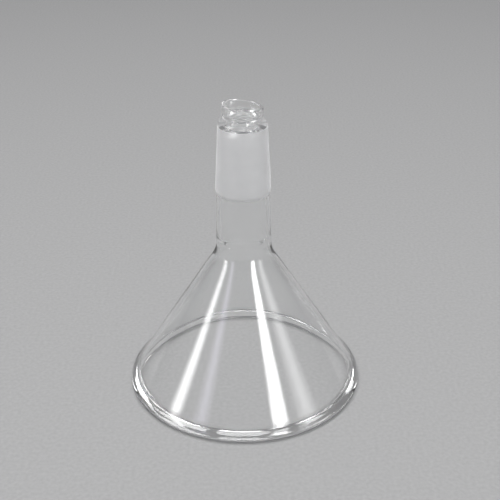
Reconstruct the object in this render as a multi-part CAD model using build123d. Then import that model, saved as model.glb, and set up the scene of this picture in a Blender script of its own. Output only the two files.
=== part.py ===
from build123d import *
import os
from math import atan2, cos, sin, sqrt

# A glass powder funnel with a ground joint on its stem, standing mouth down.
# Millimetres and degrees. The rim rests on z = 0, the stem points up along +Z,
# and the glass is one continuous wall of revolution about Z. Each length of that
# wall is a solid of its own, fused face to face with the next one.

# Rolled rim
rim_diameter = 106.0         # over the roll
rim_bead = 5.0               # thickness of the roll
rim_step = 0.7               # how far the roll stands out past the cone's outside
rim_blend = 4.0              # hollow where the roll runs into the cone
rim_neck = 5.5               # from the roll's centre up the wall to the seam with the cone
foot_width = 1.6             # flat ring on the roll that the funnel stands on

# Cone
cone_height = 66.6           # foot to where the outsides of cone and stem would cross
cone_wall = 2.0
flare_radius = 12.0          # outside curve from the cone into the stem

# Stem
stem_base_diameter = 24.6    # outside, where it leaves the cone
stem_wall = 1.8
stem_length = 27.9           # from the crossing of the outsides to the joint's lower edge

# Ground joint, standard taper 24/29
joint_large_diameter = 24.0
joint_length = 29.0          # ground length
joint_taper = 0.1            # change of diameter over length
joint_wall = 2.4
joint_step = 0.6             # how far the joint stands out past the stem, on the radius
joint_edge_height = 1.3      # rounded edge between the stem and the ground face
joint_edge_radius = 1.5

# Clear end of the joint: rounded shoulder, then a narrow groove around the tip's tube
shoulder_height = 2.1        # from the ground face to the top of the lip
shoulder_radius = 2.0
lip_radius = 0.4
groove_width = 1.5           # from the lip to the tip's tube
groove_depth = 1.6
groove_undercut = 0.3        # how far the lip's inside leans inwards at the bottom
groove_floor = 1.2           # glass under the groove
ledge_drop = 2.5             # how far the ledge under the tip slopes down to the joint's bore
dome_radius = 2.5            # inside curve from the joint's bore to that ledge

# Flared tip
tip_bore_diameter = 10.4
tip_tube_wall = 1.2
tip_gap = 1.1                # from the top of the lip to the underside of the cup
tip_diameter = 17.4          # outside of the cup
tip_height = 5.0             # from the cup's underside to its rim, on the axis
tip_wall = 1.4
tip_corner_radius = 1.5      # outside curve from the underside to the cup's wall
cup_radius = 0.8             # inside curve from the cup's floor to its wall
tip_edge_radius = 0.6        # both ends of the tip's bore
tip_cut_angle = 7.5          # tilt of the hand-cut rim
tip_cut_direction = 18.0     # the way the rim falls, about Z from +X

# Places along the wall, as (radius, height)
bead_radius = rim_bead / 2
bead_r = rim_diameter / 2 - bead_radius
bead_z = sqrt(bead_radius**2 - (foot_width / 2) ** 2)
cone_foot = (rim_diameter / 2 - rim_step, bead_z)
stem_base = (stem_base_diameter / 2, cone_height)
joint_edge_z = cone_height + stem_length
stem_top = (joint_large_diameter / 2 - joint_step, joint_edge_z)
ground_low = (joint_large_diameter / 2, joint_edge_z + joint_edge_height)


def on_taper(height):
    """Outside radius of the ground joint's taper at a height."""
    return ground_low[0] - joint_taper / 2 * (height - ground_low[1])


ground_high_z = ground_low[1] + joint_length
lip_z = ground_high_z + shoulder_height
groove_z = lip_z - groove_depth
ledge_z = groove_z - groove_floor
ledge_foot_z = ledge_z - ledge_drop
cup_z = lip_z + tip_gap
rim_z = cup_z + tip_height
above = rim_z + tip_diameter          # clear of everything, to be cut back
touching = 1e-4                       # nearer than this is on the same curve

tip_bore = tip_bore_diameter / 2
tip_tube = tip_bore + tip_tube_wall
lip_inner = tip_tube + groove_width
lip_width = on_taper(lip_z) - lip_inner
joint_bore_low = ground_low[0] - joint_wall
joint_bore_high = on_taper(ledge_foot_z) - joint_wall
ledge_width = joint_bore_high - tip_bore
cup_bore = tip_diameter / 2 - tip_wall
cup_floor = cup_bore - tip_bore
cup_overhang = tip_diameter / 2 - tip_tube


def offset(start, end, distance):
    """The line from start to end, moved to its left by distance, as two points."""
    run = atan2(end[1] - start[1], end[0] - start[0])
    shift = (-sin(run) * distance, cos(run) * distance)
    return [(point[0] + shift[0], point[1] + shift[1]) for point in (start, end)]


def crossing(first, second):
    """Where two lines, each given by two points, would meet."""
    (ax, ay), (bx, by) = first
    (cx, cy), (dx, dy) = second
    turn = (bx - ax) * (dy - cy) - (by - ay) * (dx - cx)
    along = ((cx - ax) * (dy - cy) - (cy - ay) * (dx - cx)) / turn
    return (ax + along * (bx - ax), ay + along * (by - ay))


def rounded(corners):
    """A line through (radius, height, rounding) corners, each curved by its rounding."""
    points = [(r, z) for r, z, rounding in corners]
    return FilletPolyline(*points, radius=[rounding for r, z, rounding in corners[1:-1]])


cone_inside = offset(cone_foot, stem_base, cone_wall)
stem_inside = [(stem_base[0] - stem_wall, cone_height), (joint_bore_low, joint_edge_z)]
inner_crossing = crossing(cone_inside, stem_inside)

outside = rounded([
    (*cone_foot, 0),
    (*stem_base, flare_radius),
    (*stem_top, 0),
    (*ground_low, joint_edge_radius),
    (on_taper(lip_z), lip_z, min(shoulder_radius, 0.8 * lip_width)),
    (lip_inner, lip_z, min(lip_radius, 0.15 * lip_width)),
    (lip_inner - groove_undercut, groove_z, 0),
    (tip_tube, cup_z, 0),
    (tip_diameter / 2, cup_z, min(tip_corner_radius, 0.9 * cup_overhang)),
    (tip_diameter / 2, above, 0),
])
inside = rounded([
    (*cone_inside[0], 0),
    (*inner_crossing, flare_radius + cone_wall),
    (joint_bore_low, joint_edge_z, 0),
    (joint_bore_high, ledge_foot_z, min(dome_radius, 0.9 * ledge_width)),
    (tip_bore, ledge_z, min(tip_edge_radius, 0.2 * ledge_width)),
    (tip_bore, cup_z + tip_wall, min(tip_edge_radius, 0.3 * cup_floor)),
    (cup_bore, cup_z + tip_wall, min(cup_radius, 0.6 * cup_floor)),
    (cup_bore, above, 0),
])


def wall_section():
    """The glass wall cut through on one side, with its rolled rim."""
    ends = [Line(inside @ 0, outside @ 0), Line(outside @ 1, inside @ 1)]
    roll = Pos(bead_r, bead_z) * Circle(bead_radius)
    section = make_face([outside, inside, *ends]) + roll
    roll_centre = Vector(bead_r, bead_z)
    hollows = [
        corner for corner in section.vertices()
        if abs((Vector(corner.X, corner.Y) - roll_centre).length - bead_radius) < touching
    ]
    section = fillet(hollows, rim_blend)
    below_foot = Pos(bead_r, -rim_bead / 2) * Rectangle(2 * rim_bead, rim_bead)
    return section - below_foot


def rim_seam():
    """The line across the wall where the rolled rim ends, well past both faces."""
    slope = atan2(stem_base[1] - cone_foot[1], stem_base[0] - cone_foot[0])
    seam = (bead_r + rim_neck * cos(slope), bead_z + rim_neck * sin(slope))
    reach = rim_neck + rim_bead
    across = (reach * sin(slope), -reach * cos(slope))
    return (
        (seam[0] - across[0], seam[1] - across[1]),
        (seam[0] + across[0], seam[1] + across[1]),
    )


def seam_through(inner, outer):
    """A seam through a point on each face of the wall, carried one wall past both."""
    across = Vector(outer.X - inner.X, outer.Y - inner.Y)
    low = Vector(inner.X, inner.Y) - across
    high = Vector(outer.X, outer.Y) + across
    return ((low.X, low.Y), (high.X, high.Y))


def flare_seams():
    """The lines across the wall at the lower and the upper end of the flare."""
    curve_in, curve_out = [
        path.edges().filter_by(GeomType.CIRCLE).sort_by(Axis.Y)[0] for path in (inside, outside)
    ]
    ends_in, ends_out = [curve.vertices().sort_by(Axis.Y) for curve in (curve_in, curve_out)]
    return [seam_through(inner, outer) for inner, outer in zip(ends_in, ends_out)]


def level(height):
    """A seam straight across the wall at a height."""
    return ((0, height), (rim_diameter, height))


def between(low, high):
    """The region of the section between two seams."""
    return make_face(Polyline(low[0], low[1], high[1], high[0], close=True))


def revolved(section):
    return revolve(Plane.XZ * section, Axis.Z)


def cut_rim(tip):
    """The tip with everything above its tilted rim taken away."""
    rim = Pos(0, 0, rim_z) * Rot(0, 0, tip_cut_direction) * Rot(0, tip_cut_angle, 0)
    waste = rim * Box(2 * tip_diameter, 2 * tip_diameter, 2 * above,
                      align=(Align.CENTER, Align.CENTER, Align.MIN))
    return tip - waste


def tip_region():
    """The region of the tip: its ledge and tube inside the groove, and all above the lip."""
    groove_r = lip_inner - groove_undercut
    clear_z = (lip_z + cup_z) / 2
    return make_face(Polyline(
        (0, ledge_foot_z), (groove_r, ledge_foot_z),
        (groove_r, clear_z), (rim_diameter, clear_z),
        (rim_diameter, above), (0, above), close=True,
    ))


def sub_parts():
    """Every length of glass, by name, from the rim up."""
    wall = wall_section()
    rim_line = rim_seam()
    flare_low, flare_high = flare_seams()
    tip = tip_region()
    bands = {
        "rolled_rim": between(level(-rim_bead), rim_line),
        "funnel_cone": between(rim_line, flare_low),
        "stem_flare": between(flare_low, flare_high),
        "stem_tube": between(flare_high, level(joint_edge_z)),
        "ground_joint": between(level(joint_edge_z), level(ground_high_z)) - tip,
        "joint_shoulder": between(level(ground_high_z), level(above)) - tip,
        "flared_tip": tip,
    }
    solids = {name: revolved(wall & band) for name, band in bands.items()}
    solids["flared_tip"] = cut_rim(solids["flared_tip"])
    return solids


os.makedirs("parts", exist_ok=True)
for name, solid in sub_parts().items():
    export_step(solid, f"parts/{name}.step")
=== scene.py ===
from math import atan2, cos, exp, hypot, pi, radians, sin, tan

import bpy
import numpy as np
from mathutils import Matrix, Vector


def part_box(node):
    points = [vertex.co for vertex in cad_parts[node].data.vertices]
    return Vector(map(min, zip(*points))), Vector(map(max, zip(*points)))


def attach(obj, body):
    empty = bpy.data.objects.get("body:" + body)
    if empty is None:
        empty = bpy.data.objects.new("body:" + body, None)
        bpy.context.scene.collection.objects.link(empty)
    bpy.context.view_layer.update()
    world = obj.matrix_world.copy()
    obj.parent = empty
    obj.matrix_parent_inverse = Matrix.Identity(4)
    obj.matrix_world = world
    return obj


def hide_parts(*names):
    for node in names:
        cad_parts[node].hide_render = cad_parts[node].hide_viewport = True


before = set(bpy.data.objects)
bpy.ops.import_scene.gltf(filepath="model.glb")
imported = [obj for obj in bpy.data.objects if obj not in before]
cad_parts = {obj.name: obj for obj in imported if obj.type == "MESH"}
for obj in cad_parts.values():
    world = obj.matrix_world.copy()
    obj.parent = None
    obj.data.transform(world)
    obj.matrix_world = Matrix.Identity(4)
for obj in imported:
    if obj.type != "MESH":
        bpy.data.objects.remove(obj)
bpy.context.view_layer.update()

# A glass powder funnel with a ground joint, standing mouth down. Its section, worked out below,
# is turned about Z as one surface and then cut into the lengths of glass that the CAD names.

MM = 0.001

# The frame's own sizes, in millimetres
rim_box = [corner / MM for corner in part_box("rolled_rim")]
flare_box = [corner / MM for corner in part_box("stem_flare")]
joint_box = [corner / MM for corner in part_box("ground_joint")]
lip_box = [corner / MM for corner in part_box("joint_shoulder")]
tip_box = [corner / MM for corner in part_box("flared_tip")]

# Rolled rim and cone, in millimetres like every other size of the section
bead_radius = 2.5
foot_half_width = 0.8        # half the width of the flat ring that the funnel stands on
bead = (rim_box[1].x - bead_radius, rim_box[0].z + (bead_radius**2 - foot_half_width**2) ** 0.5)
rim_step = 0.7               # how far the roll stands out past the cone's outside
rim_blend = 4.0              # hollow where the roll runs into the cone
rim_neck = 5.5               # from the roll's centre up the wall to the seam with the cone
cone_foot = (rim_box[1].x - rim_step, bead[1])
cone_wall = 2.0
flare_radius = 12.0          # outside curve from the cone into the stem

# Stem
stem_base = (12.3, 66.6)     # where the outsides of cone and stem would cross
stem_wall = 1.8

# Ground joint
joint_step = 0.6             # how far the joint stands out past the stem, on the radius
joint_edge_height = 1.3      # rounded edge between the stem and the ground face
joint_edge_radius = 1.5
joint_slope = 0.05           # change of radius over length
joint_wall = 2.4
ground_low = (joint_box[1].x, joint_box[0].z + joint_edge_height)
ground_high_z = lip_box[0].z

# Clear end of the joint, with the groove around the tip's tube
lip_z = lip_box[1].z
shoulder_radius = 2.0
lip_radius = 0.4
groove_width = 1.5
groove_depth = 1.6
groove_undercut = 0.3        # how far the lip's inside leans inwards at the bottom
groove_floor = 1.2           # glass under the groove
ledge_drop = 2.5             # how far the ledge under the tip slopes down to the joint's bore
dome_radius = 2.5            # inside curve from the joint's bore to that ledge

# Flared tip
tip_bore = 5.2               # on the radius
tip_tube_wall = 1.2
tip_tube = tip_bore + tip_tube_wall
tip_gap = 1.1                # from the top of the lip to the underside of the cup
tip_wall = 1.4
tip_corner_radius = 1.5      # outside curve from the underside to the cup's wall
cup_corner_radius = 0.8      # inside curve from the cup's floor to its wall
tip_edge_radius = 0.6        # both ends of the tip's bore
tip_rim_radius = 0.46 * tip_wall
cut_tilt = radians(7.5)      # tilt of the hand-cut rim
cut_direction = radians(18)  # the way that rim falls, about Z from +X
softened = 0.25              # rounding of corners that a flame has only touched

lip_inner = tip_tube + groove_width
groove = (lip_inner - groove_undercut, lip_z - groove_depth)
ledge_z = groove[1] - groove_floor
ledge_foot_z = ledge_z - ledge_drop
cup_z = lip_z + tip_gap
cup_floor_z = cup_z + tip_wall
cup_radius = tip_box[1].x
cup_bore = cup_radius - tip_wall
rim_z = tip_box[1].z - cup_radius * tan(cut_tilt)

# Ring in the stem where tube and cone were fused
ring_z = 73.0
ring_width = 1.1
ring_outside = 0.10          # how far it stands out from the glass where its height is 1
ring_inside = 0.40           # and how far it stands inwards there
# How it wanders up and down, and how its width and its height vary around the stem, each as
# waves of (how many go around, where they start, how large they are)
ring_wander = ((1, 0.6, 0.5), (3, 0.0, 0.25))
ring_width_change = ((2, 2.0, 0.25),)
ring_height = 0.75
ring_height_change = ((2, 1.0, 0.2), (5, 0.0, 0.15))

# Unevenness of worked glass, on the radius, as waves of (how many go around, their turn for each
# millimetre of height and of radius, where they start, how large they are)
uneven = ((2, 0.09, 0.0, 0.0, 0.030), (3, -0.05, 0.0, 1.3, 0.018), (7, 0.31, 0.7, 0.0, 0.006))
uneven_full_radius = 20.0    # glass narrower than this is truer
uneven_from_z = 3.0          # the rim below this is true
uneven_rise = 12.0           # height over which the unevenness comes in

# Mesh
TURN = 224                   # steps around the axis
ARC_STEP = radians(7.0)      # of the section's curves
LONGEST_RUN = 1.0            # of its straight stretches


def line_offset(start, end, distance):
    """The line from start to end moved to its left."""
    heading = atan2(end[1] - start[1], end[0] - start[0])
    shift = Vector((-sin(heading), cos(heading))) * distance
    return Vector(start) + shift, Vector(end) + shift


def crossing(first, second):
    """Where two lines, each given by two points, would meet."""
    (a, b), (c, d) = [[Vector(point) for point in line] for line in (first, second)]
    along = (c - a).cross(d - c) / (b - a).cross(d - c)
    return a + (b - a) * along


def rounded_path(corners):
    """Points of a path through (radius, height, rounding) corners, each turned on an arc."""
    points = [Vector(corners[0][:2])]
    for before, here, after in zip(corners, corners[1:], corners[2:]):
        corner = Vector(here[:2])
        rounding = here[2]
        into = (corner - Vector(before[:2])).normalized()
        out = (Vector(after[:2]) - corner).normalized()
        turn = atan2(into.cross(out), into.dot(out))
        if rounding == 0 or abs(turn) < 1e-6:
            points.append(corner)
            continue
        reach = rounding * tan(abs(turn) / 2)
        start = corner - into * reach
        side = 1 if turn > 0 else -1
        centre = start + Vector((-into.y, into.x)) * side * rounding
        steps = max(2, round(abs(turn) / ARC_STEP))
        spoke = start - centre
        for step in range(steps + 1):
            points.append(centre + Matrix.Rotation(turn * step / steps, 2) @ spoke)
    points.append(Vector(corners[-1][:2]))
    return points


def filled(points):
    """The same path with its long straight runs divided."""
    path = []
    for start, end in zip(points, points[1:]):
        parts = max(1, round((end - start).length / LONGEST_RUN))
        path += [start.lerp(end, step / parts) for step in range(parts)]
    return path + [points[-1]]


def arc(centre, start, end, sense):
    """Points from start to end about centre, counterclockwise where sense is 1."""
    first = atan2(start[1] - centre[1], start[0] - centre[0])
    last = atan2(end[1] - centre[1], end[0] - centre[0])
    sweep = ((last - first) * sense) % (2 * pi)
    steps = max(2, round(sweep / ARC_STEP))
    size = hypot(start[0] - centre[0], start[1] - centre[1])
    angles = [first + sense * sweep * step / steps for step in range(steps + 1)]
    return [Vector((centre[0] + size * cos(a), centre[1] + size * sin(a))) for a in angles]


def on_taper(height):
    """Outside radius of the ground joint at a height."""
    return ground_low[0] - joint_slope * (height - ground_low[1])


# Directions up the cone's wall and across it, towards the axis
cone_run = (Vector(stem_base) - Vector(cone_foot)).normalized()
wall_left = Vector((-cone_run.y, cone_run.x))

outer_cone = (Vector(cone_foot), Vector(stem_base))
inner_cone = line_offset(cone_foot, stem_base, cone_wall)
joint_bore_low = ground_low[0] - joint_wall
joint_bore_high = on_taper(ledge_foot_z) - joint_wall
inner_stem_base = (stem_base[0] - stem_wall, stem_base[1])
inner_base = crossing(inner_cone, (inner_stem_base, (joint_bore_low, joint_box[0].z)))

seam = Vector(bead) + cone_run * rim_neck
seam_outer = crossing(outer_cone, (seam, seam + wall_left))
seam_inner = crossing(inner_cone, (seam, seam + wall_left))


def rim_hollow(wall_line, side):
    """Centre of the hollow beside the roll, and where it meets the wall and the roll.

    Side is 1 for the cone's inside and -1 for its outside.
    """
    across = (wall_line[0] - Vector(bead)).dot(wall_left) + side * rim_blend
    along = ((bead_radius + rim_blend) ** 2 - across**2) ** 0.5
    centre = Vector(bead) + cone_run * along + wall_left * across
    on_wall = centre - wall_left * side * rim_blend
    on_roll = Vector(bead) + (centre - Vector(bead)) * bead_radius / (bead_radius + rim_blend)
    return centre, on_wall, on_roll


# From the outside of the rim's seam up, over the tip and down the inside
upper_path = filled(rounded_path([
    (*seam_outer, 0),
    (*stem_base, flare_radius),
    (ground_low[0] - joint_step, joint_box[0].z, softened),
    (*ground_low, joint_edge_radius),
    (on_taper(ground_high_z), ground_high_z, 0),
    (on_taper(lip_z), lip_z, shoulder_radius),
    (lip_inner, lip_z, lip_radius),
    (*groove, softened),
    (tip_tube, cup_z, softened),
    (cup_radius, cup_z, tip_corner_radius),
    (cup_radius, rim_z, tip_rim_radius),
    (cup_bore, rim_z, tip_rim_radius),
    (cup_bore, cup_floor_z, cup_corner_radius),
    (tip_bore, cup_floor_z, tip_edge_radius),
    (tip_bore, ledge_z, tip_edge_radius),
    (joint_bore_high, ledge_foot_z, dome_radius),
    (joint_bore_low, joint_box[0].z, 0),
    (*inner_base, flare_radius + cone_wall),
    (*seam_inner, 0),
]))

# Then around the roll, back to the outside of the seam
inner_centre, inner_on_wall, inner_on_roll = rim_hollow(inner_cone, 1)
outer_centre, outer_on_wall, outer_on_roll = rim_hollow(outer_cone, -1)
foot_inner = (bead[0] - foot_half_width, rim_box[0].z)
foot_outer = (bead[0] + foot_half_width, rim_box[0].z)
roll_path = filled(
    arc(inner_centre, inner_on_wall, inner_on_roll, -1)
    + arc(bead, inner_on_roll, foot_inner, 1)[1:]
    + arc(bead, foot_outer, outer_on_roll, 1)
    + arc(outer_centre, outer_on_wall, outer_on_roll, 1)[::-1][1:]
)
section = upper_path + roll_path
summit = max(range(len(section)), key=lambda i: section[i].y)
last_inner = len(upper_path) - 1


def tilted(r, z, angle):
    """Height of a point of the tip once its rim is cut at a tilt."""
    share = max(0.0, min(1.0, (z - cup_floor_z) / (rim_z - cup_floor_z)))
    return z - share * r * tan(cut_tilt) * cos(angle - cut_direction)


def waves(terms, angle):
    """Sum of sine waves around the glass."""
    return sum(size * sin(count * angle + start) for count, start, size in terms)


def fused_ring(z, angle):
    """The fused ring's height at a place, 1 where it stands ring_outside and ring_inside proud."""
    middle = ring_z + waves(ring_wander, angle)
    width = ring_width * (1 + waves(ring_width_change, angle))
    height = ring_height + waves(ring_height_change, angle)
    return height * exp(-((z - middle) / width) ** 2)


def unevenness(r, z, angle):
    """How far the glass is from a true circle."""
    ripple = sum(size * sin(count * angle + by_height * z + by_radius * r + start)
                 for count, by_height, by_radius, start, size in uneven)
    calm_at_rim = min(1.0, max(0.0, (z - uneven_from_z) / uneven_rise))
    return ripple * min(1.0, r / uneven_full_radius) * calm_at_rim


def lathe(path):
    """Every section point turned about Z, in metres, and the surface's normal there."""
    angles = [2 * pi * step / TURN for step in range(TURN)]
    turned = np.empty((len(path), TURN, 3))
    for row, (radius, z) in enumerate(path):
        ring = ring_outside if row < summit else -ring_inside
        for column, angle in enumerate(angles):
            r = radius + unevenness(radius, z, angle)
            if row <= last_inner:
                r += ring * fused_ring(z, angle)
            turned[row, column] = (r * cos(angle), r * sin(angle), tilted(radius, z, angle))
    along = np.roll(turned, -1, 0) - np.roll(turned, 1, 0)
    around = np.roll(turned, -1, 1) - np.roll(turned, 1, 1)
    directions = np.cross(around, along)
    directions /= np.linalg.norm(directions, axis=2, keepdims=True)
    return turned * MM, directions


grid, normals = lathe(section)


def nearest(point, low, high):
    """Index of the section point nearest to a place, among those from low to high."""
    return min(range(low, high), key=lambda i: (section[i] - Vector(point)).length)


# Where each length of glass ends, as indices on the outside and the inside
cone_slope = (cone_foot[0] - stem_base[0]) / (stem_base[1] - cone_foot[1])
flare_foot = Vector((flare_box[1].x, stem_base[1] - (flare_box[1].x - stem_base[0]) / cone_slope))
flare_top_z = flare_box[1].z
ledge_slope = ledge_drop / (joint_bore_high - tip_bore)
ledge_under_groove = ledge_z - ledge_slope * (groove[0] - tip_bore)
outer_rim, inner_rim = 0, last_inner
outer_flare = nearest(flare_foot, 0, summit)
inner_flare = nearest(flare_foot + wall_left * cone_wall, summit, last_inner)
outer_stem = nearest((stem_base[0], flare_top_z), 0, summit)
inner_stem = nearest((inner_stem_base[0], flare_top_z), summit, last_inner)
outer_joint = nearest((ground_low[0] - joint_step, joint_box[0].z), 0, summit)
inner_joint = nearest((joint_bore_low, joint_box[0].z), summit, last_inner)
outer_shoulder = nearest((on_taper(ground_high_z), ground_high_z), 0, summit)
outer_groove = nearest(groove, 0, summit)
inner_groove = nearest((groove[0], ledge_under_groove), summit, last_inner)

# One more ring of points, inside the glass, where joint, shoulder and tip meet
INSIDE_GLASS = len(section)
circle = [2 * pi * column / TURN for column in range(TURN)]
inside_ring = [(groove[0] * cos(a), groove[0] * sin(a), ground_high_z) for a in circle]
grid = np.concatenate([grid, [np.array(inside_ring) * MM]])


def run(first, last):
    return list(range(first, last + 1))


# Each length of glass as the closed loop of its section's points
pieces_of_glass = {
    "rolled_rim": run(inner_rim, len(section) - 1) + [outer_rim],
    "funnel_cone": run(outer_rim, outer_flare) + run(inner_flare, inner_rim),
    "stem_flare": run(outer_flare, outer_stem) + run(inner_stem, inner_flare),
    "stem_tube": run(outer_stem, outer_joint) + run(inner_joint, inner_stem),
    "ground_joint": (run(outer_joint, outer_shoulder) + [INSIDE_GLASS]
                     + run(inner_groove, inner_joint)),
    "joint_shoulder": run(outer_shoulder, outer_groove) + [INSIDE_GLASS],
    "flared_tip": run(outer_groove, inner_groove) + [INSIDE_GLASS],
}


def new_material(name):
    """A material, its node tree and its shader."""
    material = bpy.data.materials.new(name)
    material.use_nodes = True
    tree = material.node_tree
    return material, tree, tree.nodes["Principled BSDF"]


def connect(tree, source, output, target, socket):
    tree.links.new(source.outputs[output], target.inputs[socket])


def noise(tree, scale, detail, stretch=(1, 1, 1)):
    """Noise in object space. A larger stretch packs it closer along that axis."""
    place = tree.nodes.new("ShaderNodeTexCoord")
    mapping = tree.nodes.new("ShaderNodeMapping")
    mapping.inputs["Scale"].default_value = stretch
    connect(tree, place, "Object", mapping, "Vector")
    texture = tree.nodes.new("ShaderNodeTexNoise")
    texture.inputs["Scale"].default_value = scale
    texture.inputs["Detail"].default_value = detail
    connect(tree, mapping, "Vector", texture, "Vector")
    return texture


def ramp(tree, low, high, low_at=0.3, high_at=0.7):
    node = tree.nodes.new("ShaderNodeValToRGB")
    ends = ((low_at, low), (high_at, high))
    for element, (position, color) in zip(node.color_ramp.elements, ends):
        element.position = position
        element.color = (*color, 1)
    return node


def tint(tree, shader, pattern, low, high):
    """Varies the base colour with a noise pattern."""
    colours = ramp(tree, low, high)
    connect(tree, pattern, "Fac", colours, "Fac")
    connect(tree, colours, "Color", shader, "Base Color")


def vary_roughness(tree, shader, pattern, low, high):
    spread = tree.nodes.new("ShaderNodeMapRange")
    spread.inputs["To Min"].default_value = low
    spread.inputs["To Max"].default_value = high
    connect(tree, pattern, "Fac", spread, "Value")
    connect(tree, spread, "Result", shader, "Roughness")


def bump(tree, shader, pattern, output, strength, distance):
    node = tree.nodes.new("ShaderNodeBump")
    node.inputs["Strength"].default_value = strength
    node.inputs["Distance"].default_value = distance
    connect(tree, pattern, output, node, "Height")
    connect(tree, node, "Normal", shader, "Normal")


BOROSILICATE_IOR = 1.474


def clear_glass():
    """Fire-polished glass, with faint lines from drawing the tube and a trace of haze."""
    material, tree, glass = new_material("clear_borosilicate")
    glass.inputs["Transmission Weight"].default_value = 1.0
    glass.inputs["IOR"].default_value = BOROSILICATE_IOR
    cloud = noise(tree, scale=45, detail=2)
    tint(tree, glass, cloud, (0.988, 0.993, 0.993), (0.998, 1.0, 0.999))
    vary_roughness(tree, glass, cloud, 0.0, 0.035)
    draw_lines = noise(tree, scale=160, detail=2, stretch=(1, 1, 0.15))
    bump(tree, glass, draw_lines, "Fac", strength=0.02, distance=0.0004)
    return material


def ground_glass():
    """The joint's ground face: white, finely pitted, with rings left by the grinding."""
    material, tree, glass = new_material("ground_frosted")
    glass.inputs["Transmission Weight"].default_value = 0.4
    glass.inputs["IOR"].default_value = BOROSILICATE_IOR
    glass.inputs["Sheen Weight"].default_value = 0.6
    glass.inputs["Sheen Roughness"].default_value = 0.35
    cloud = noise(tree, scale=180, detail=4)
    tint(tree, glass, cloud, (0.93, 0.935, 0.94), (0.985, 0.985, 0.99))
    rings = noise(tree, scale=90, detail=3, stretch=(0.4, 0.4, 22))
    vary_roughness(tree, glass, rings, 0.5, 0.75)
    pits = noise(tree, scale=5200, detail=3)
    relief = tree.nodes.new("ShaderNodeMath")
    relief.operation = "ADD"
    connect(tree, pits, "Fac", relief, 0)
    connect(tree, rings, "Fac", relief, 1)
    bump(tree, glass, relief, "Value", strength=0.35, distance=0.00012)
    return material


def fused_seam():
    """Where two lengths of glass are fused there is no surface to see."""
    material, _, glass = new_material("fused_seam")
    glass.inputs["Alpha"].default_value = 0.0
    return material


CLEAR, FROSTED, FUSED = range(3)
glass_materials = [clear_glass(), ground_glass(), fused_seam()]


def surface_of(this, following):
    """Which of the glass materials the strip between two section points has."""
    if INSIDE_GLASS in (this, following) or following != (this + 1) % len(section):
        return FUSED
    return FROSTED if outer_joint <= this < outer_shoulder else CLEAR


def build_piece(name, rows):
    """One closed length of glass, with the normals of the whole fused surface."""
    vertices = [tuple(point) for row in rows for point in grid[row]]
    faces, surfaces, corner_normals = [], [], []
    for place, row in enumerate(rows):
        after = (place + 1) % len(rows)
        surface = surface_of(row, rows[after])
        for column in range(TURN):
            beside = (column + 1) % TURN
            corners = [(place, column), (place, beside), (after, beside), (after, column)]
            faces.append([r * TURN + c for r, c in corners])
            surfaces.append(surface)
            if surface == FUSED:
                a, b, c = [Vector(grid[rows[r], c]) for r, c in corners[:3]]
                corner_normals += [(b - a).cross(c - b).normalized()] * len(corners)
            else:
                corner_normals += [normals[rows[r], c] for r, c in corners]
    mesh = bpy.data.meshes.new(name)
    mesh.from_pydata(vertices, [], faces)
    for material in glass_materials:
        mesh.materials.append(material)
    mesh.polygons.foreach_set("material_index", surfaces)
    mesh.polygons.foreach_set("use_smooth", [True] * len(faces))
    mesh.normals_split_custom_set(corner_normals)
    mesh.update()
    piece = bpy.data.objects.new(name, mesh)
    bpy.context.scene.collection.objects.link(piece)
    return piece


# Diffuse rays pass the glass, and only the rim casts a shadow. With all its shadows, the floor
# under the cone renders as a dark disc.
for node, rows in pieces_of_glass.items():
    piece = build_piece(node + "_glass", rows)
    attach(piece, "root")
    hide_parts(node)
    piece.visible_diffuse = False
    piece.visible_shadow = node == "rolled_rim"


def make_floor():
    bpy.ops.mesh.primitive_plane_add(size=5.0, location=(0, 0, 0))
    floor = bpy.context.object
    floor.name = "floor"
    material, tree, surface = new_material("pale_floor")
    tint(tree, surface, noise(tree, scale=600, detail=4), (0.45, 0.45, 0.45), (0.51, 0.51, 0.51))
    surface.inputs["Roughness"].default_value = 0.9
    surface.inputs["Specular IOR Level"].default_value = 0.2
    floor.data.materials.append(material)


LIGHT_TARGET = Vector((0, 0, 0.06))
# Brightness across a softbox, as (place, level), dark at both of its edges
STREAK_FADE = ((0.28, 0.55), (0.40, 1.0), (0.60, 1.0), (0.72, 0.55))
WHITE = (1, 1, 1)


def fade_sides(light):
    """Lets a softbox fade from its middle to its left and right edges."""
    light.use_nodes = True
    tree = light.node_tree
    place = tree.nodes.new("ShaderNodeNewGeometry")
    split = tree.nodes.new("ShaderNodeSeparateXYZ")
    connect(tree, place, "Parametric", split, 0)
    curve = ramp(tree, (0, 0, 0), (0, 0, 0), 0.0, 1.0)
    curve.color_ramp.interpolation = "EASE"
    for position, level in STREAK_FADE:
        curve.color_ramp.elements.new(position).color = (level, level, level, 1)
    connect(tree, split, "X", curve, "Fac")
    connect(tree, curve, "Color", tree.nodes["Emission"], "Color")


def area_light(name, azimuth, elevation, size, radiance, distance=1.0, color=WHITE, soft=False):
    """A softbox aimed at the funnel, from angles in degrees.

    Azimuth 0 is on the camera's side, positive to its right.
    """
    azimuth, elevation = radians(azimuth), radians(elevation)
    way = Vector((sin(azimuth) * cos(elevation), -cos(azimuth) * cos(elevation), sin(elevation)))
    light = bpy.data.lights.new(name, "AREA")
    light.shape = "RECTANGLE"
    light.size, light.size_y = size
    light.energy = radiance * pi * size[0] * size[1]
    light.color = color
    if soft:
        fade_sides(light)
    lamp = bpy.data.objects.new(name, light)
    lamp.location = LIGHT_TARGET + way * distance
    lamp.rotation_euler = (-way).to_track_quat("-Z", "Y").to_euler()
    bpy.context.scene.collection.objects.link(lamp)
    return lamp


def light_only(lamps, name, nodes):
    """Lets some lamps shine on some pieces only."""
    group = bpy.data.collections.new(name)
    for node in nodes:
        group.objects.link(bpy.data.objects[node + "_glass"])
    for lamp in lamps:
        lamp.light_linking.receiver_collection = group


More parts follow.
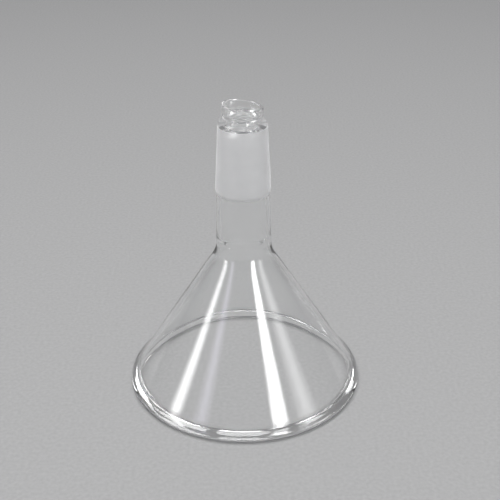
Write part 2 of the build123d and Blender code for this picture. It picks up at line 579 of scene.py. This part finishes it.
def make_lights():
    """Softboxes that the glass reflects, and one overhead that lights the floor."""
    streaks = [
        area_light("left_strip", -71.5, 22, (0.30, 0.75), 9, soft=True),
        area_light("right_box", 35, 24, (0.34, 0.80), 20, soft=True),
        area_light("left_fill", -44, 22, (0.44, 0.85), 2.2, 1.3, (0.88, 0.84, 1.0), soft=True),
        area_light("right_fill", 64, 20, (0.56, 0.85), 3.2, 1.2, soft=True),
    ]
    around_rim = [
        area_light("left_high", -100, 54, (0.95, 0.55), 12),
        area_light("left_back", -135, 26, (0.70, 0.42), 13),
        area_light("front_high", -6, 66, (0.55, 0.85), 10),
        area_light("right_high", 100, 52, (0.70, 0.22), 10),
        area_light("right_back", 138, 24, (0.50, 0.18), 12),
    ]
    over_tip = [
        area_light("tip_left", -108, 52, (0.60, 0.40), 7),
        area_light("tip_front", 5, 56, (0.50, 0.16), 10),
        area_light("tip_right", 95, 50, (0.50, 0.25), 6),
    ]
    light_only(around_rim, "lit_at_the_rim", ["rolled_rim"])
    light_only(over_tip, "lit_at_the_tip", ["ground_joint", "joint_shoulder", "flared_tip"])
    for lamp in streaks + around_rim + over_tip:
        lamp.visible_diffuse = False
    key = area_light("top_box", -20, 80, (1.2, 1.2), 3.7, 1.4)
    key.visible_glossy = False
    key.visible_transmission = False


def make_world():
    """A room that is dim near the floor and lighter overhead."""
    world = bpy.data.worlds.new("studio")
    world.use_nodes = True
    tree = world.node_tree
    place = tree.nodes.new("ShaderNodeTexCoord")
    split = tree.nodes.new("ShaderNodeSeparateXYZ")
    connect(tree, place, "Generated", split, 0)
    shade = ramp(tree, (0.18, 0.18, 0.185), (0.34, 0.34, 0.35), 0.1, 0.9)
    connect(tree, split, "Z", shade, "Fac")
    connect(tree, shade, "Color", tree.nodes["Background"], "Color")
    tree.nodes["Background"].inputs["Strength"].default_value = 1.0
    bpy.context.scene.world = world


def make_light_paths():
    """Enough bounces for light to cross the many walls of hollow glass."""
    cycles = bpy.context.scene.cycles
    cycles.max_bounces = 32
    cycles.transmission_bounces = 32
    cycles.glossy_bounces = 16
    cycles.transparent_max_bounces = 48
    bpy.context.scene.view_settings.view_transform = "Standard"


def make_camera():
    """The photograph's view: from the front, looking down on the cone."""
    place = (0.00272, -0.38965, 0.27362)
    down, roll = radians(28.07), radians(-0.4)
    camera = bpy.data.cameras.new("camera")
    camera.lens = 72
    camera.sensor_width = 36
    camera.clip_start = 0.01
    holder = bpy.data.objects.new("camera", camera)
    turn = Matrix.Rotation(pi / 2 - down, 4, "X") @ Matrix.Rotation(roll, 4, "Z")
    holder.matrix_world = Matrix.Translation(place) @ turn
    bpy.context.scene.collection.objects.link(holder)
    bpy.context.scene.camera = holder


make_floor()
make_lights()
make_world()
make_light_paths()
make_camera()
